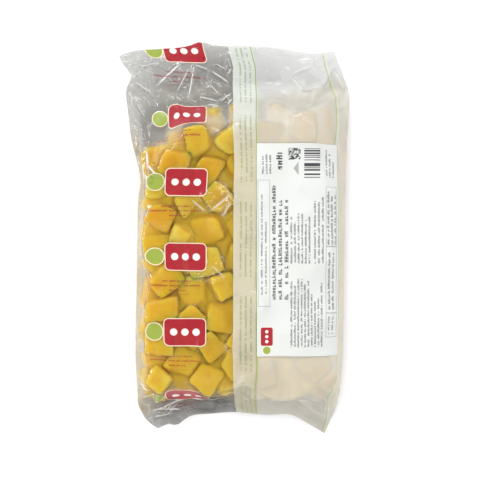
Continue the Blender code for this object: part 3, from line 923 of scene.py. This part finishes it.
def lettering(page, start, end, first, pitch, lines, height, letter, ragged):
    """Lines of made-up letters on a page: uprights, some tied by a bar, with gaps for words."""
    along, down = page
    tree = along.tree
    line = ((down - first) / pitch).of("ROUND")
    off_line = down - first - line * pitch
    cell = (along / letter).of("FLOOR")
    part = along / letter - cell
    drawn = drawn_for(tree, cell, line, first, "Color")
    spaced, tied, raised = (add_node(tree, "ShaderNodeSeparateXYZ", None, {"Vector": drawn}, output)
                            for output in range(3))
    length = drawn_for(tree, line, first)
    top = raised.of("GREATER_THAN", 0.6) * (height * -0.25) - height * 0.25
    blur = SHARP / letter
    second = within(part, 0.56, 0.84, blur) * tied.of("LESS_THAN", 0.7)
    uprights = (within(part, 0.08, 0.38, blur) + second) * (off_line - top).fade(-SHARP, SHARP)
    uprights = uprights * off_line.fade(height / 2 + SHARP, height / 2 - SHARP)
    level = (tied - 0.35) * height * 0.7
    bar = within(off_line - level, height * -0.13, height * 0.13, SHARP) * within(part, 0.08, 0.84, blur)
    in_lines = within(line, -0.5, lines - 0.5, 0.1)
    in_length = within(along, start, end, SHARP)
    in_length = in_length * (along + length * (end - start) * ragged).fade(end, end - SHARP)
    return uprights.most(bar) * in_lines * in_length * spaced.of("LESS_THAN", 0.86)


def cells(page, start, end, top, bottom, size, share):
    """A field of square or long cells, filled at random."""
    along, down = page
    across, up = ((way / step).of("FLOOR") for way, step in zip(page, size))
    in_field = within(along, start, end, SHARP) * within(down, top, bottom, SHARP)
    return drawn_for(along.tree, across, up, start).of("LESS_THAN", share) * in_field


places = np.stack(np.meshgrid(np.linspace(*LABEL_SIDES, LABEL_COLUMNS + 1),
                              np.linspace(*LABEL_ENDS, LABEL_ROWS + 1)), -1)
film_faces = BVHTree.FromPolygons([v.co for v in back.data.vertices],
                                  [p.vertices for p in back.data.polygons])
under = cast_heights(film_faces, places[..., 0], places[..., 1], 0.2, -1, 0.0)
paper_heights = under.copy()
for _ in range(PAPER_SETTLING):
    edged = np.pad(paper_heights, 1, mode="reflect", reflect_type="odd")
    paper_heights = np.maximum(neighbours(edged), under)
points = np.concatenate([places, paper_heights[..., None] + LABEL_GAP], -1)
on_page = np.stack([places[..., 1] - LABEL_ENDS[0], places[..., 0] - LABEL_SIDES[0]], -1) * MM

paper, tree = new_material("label_paper")
page = split_place(tree, add_node(tree, "ShaderNodeTexCoord", output="UV"))
ink = sum(lettering(page, *line) for line in LINES_OF_PRINT)
for start, end, top, bottom in BOXES:
    outer = within(page[0], start, end, SHARP) * within(page[1], top, bottom, SHARP)
    inner = within(page[0], start + BOX_LINE, end - BOX_LINE, SHARP)
    inner = inner * within(page[1], top + BOX_LINE, bottom - BOX_LINE, SHARP)
    ink = ink + (outer - inner) * 0.7
ink = ink + cells(page, *SQUARE_CODE, SQUARE_CELLS, SQUARE_FILLED)
ink = ink + cells(page, *BAR_CODE, BAR_CELLS, BARS_FILLED)
roof = (page[1] - ROOF_TOP - abs(page[0] - ROOF_MIDDLE) * ROOF_SLOPE).fade(0.0, 0.3)
roof = roof * within(page[1], ROOF_TOP, ROOF_BOTTOM, SHARP)
ink = (ink + roof * 0.5).least(1.0) * 0.95
paper_colour = mixed(tree, ink, (0.63, 0.64, 0.62, 1.0), (0.02, 0.02, 0.025, 1.0))
on_badge, badge_colour = badge(tree, (page[0] - SMALL_BADGE[0]) * SMALL_BADGE_SCALE,
                               (SMALL_BADGE[1] - page[1]) * SMALL_BADGE_SCALE, 0.4)
paper_colour = mixed(tree, on_badge, paper_colour, badge_colour)
shader = add_node(tree, "ShaderNodeBsdfPrincipled", None, {
    "Base Color": paper_colour, "Roughness": 0.5})
surfaced(tree, shader)
label = sheet_object("paper_label", points, on_page, paper)
thickness = label.modifiers.new("thickness", "SOLIDIFY")
thickness.thickness = PAPER
thickness.offset = 1.0
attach(label, "root")
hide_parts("label")


# The floor, the light and the camera. The bag lies on a plain white table under a wide soft light, and is
# seen from straight above.

floor_mesh = bpy.data.meshes.new("floor")
floor_mesh.from_pydata([(-3, -3, 0), (3, -3, 0), (3, 3, 0), (-3, 3, 0)], [], [(0, 1, 2, 3)])
floor = bpy.data.objects.new("floor", floor_mesh)
bpy.context.scene.collection.objects.link(floor)
pale, tree = new_material("pale_floor")
shader = add_node(tree, "ShaderNodeBsdfPrincipled", None, {
    "Base Color": (0.96, 0.96, 0.96, 1.0), "Roughness": 0.9})
surfaced(tree, shader)
floor_mesh.materials.append(pale)

scene = bpy.context.scene
scene.view_settings.view_transform = "Standard"
world = bpy.data.worlds.new("studio")
world.use_nodes = True
tree = world.node_tree
tree.nodes.clear()
direction = add_node(tree, "ShaderNodeTexCoord", output="Generated")
upward = add_node(tree, "ShaderNodeSeparateXYZ", None, {"Vector": direction}, output="Z")
glow = add_node(tree, "ShaderNodeValToRGB", {"stops": (
    (0.0, (0.08, 0.08, 0.08)), (0.34, (0.08, 0.08, 0.08)), (0.37, (1.0, 1.0, 1.0)), (0.49, (1.0, 1.0, 1.0)),
    (0.52, (0.12, 0.12, 0.12)), (0.80, (0.12, 0.12, 0.12)), (0.92, (0.05, 0.05, 0.05)))}, {"Fac": upward})
sky = add_node(tree, "ShaderNodeBackground", None, {"Color": glow, "Strength": 4.4})
add_node(tree, "ShaderNodeOutputWorld", None, {"Surface": sky})
scene.world = world
for name, place, size, power, glossy in (("left", (-1.0, 0.35, 0.60), 0.30, 3.0, True),
                                         ("far", (-0.1, 1.1, 0.6), 0.3, 2.0, True),
                                         ("over", (0.0, 0.0, 1.8), 1.0, 14.0, False)):
    light = bpy.data.lights.new(name, "AREA")
    light.size = size
    light.energy = power
    lamp = bpy.data.objects.new(name, light)
    lamp.location = place
    lamp.rotation_euler = (-Vector(place)).to_track_quat("-Z", "Y").to_euler()
    lamp.visible_glossy = glossy
    scene.collection.objects.link(lamp)

camera = bpy.data.cameras.new("camera")
camera.lens = 100.0
camera.sensor_width = 36.0
eye = bpy.data.objects.new("camera", camera)
eye.location = (0.0053, -0.0013, 1.19)
scene.collection.objects.link(eye)
scene.camera = eye
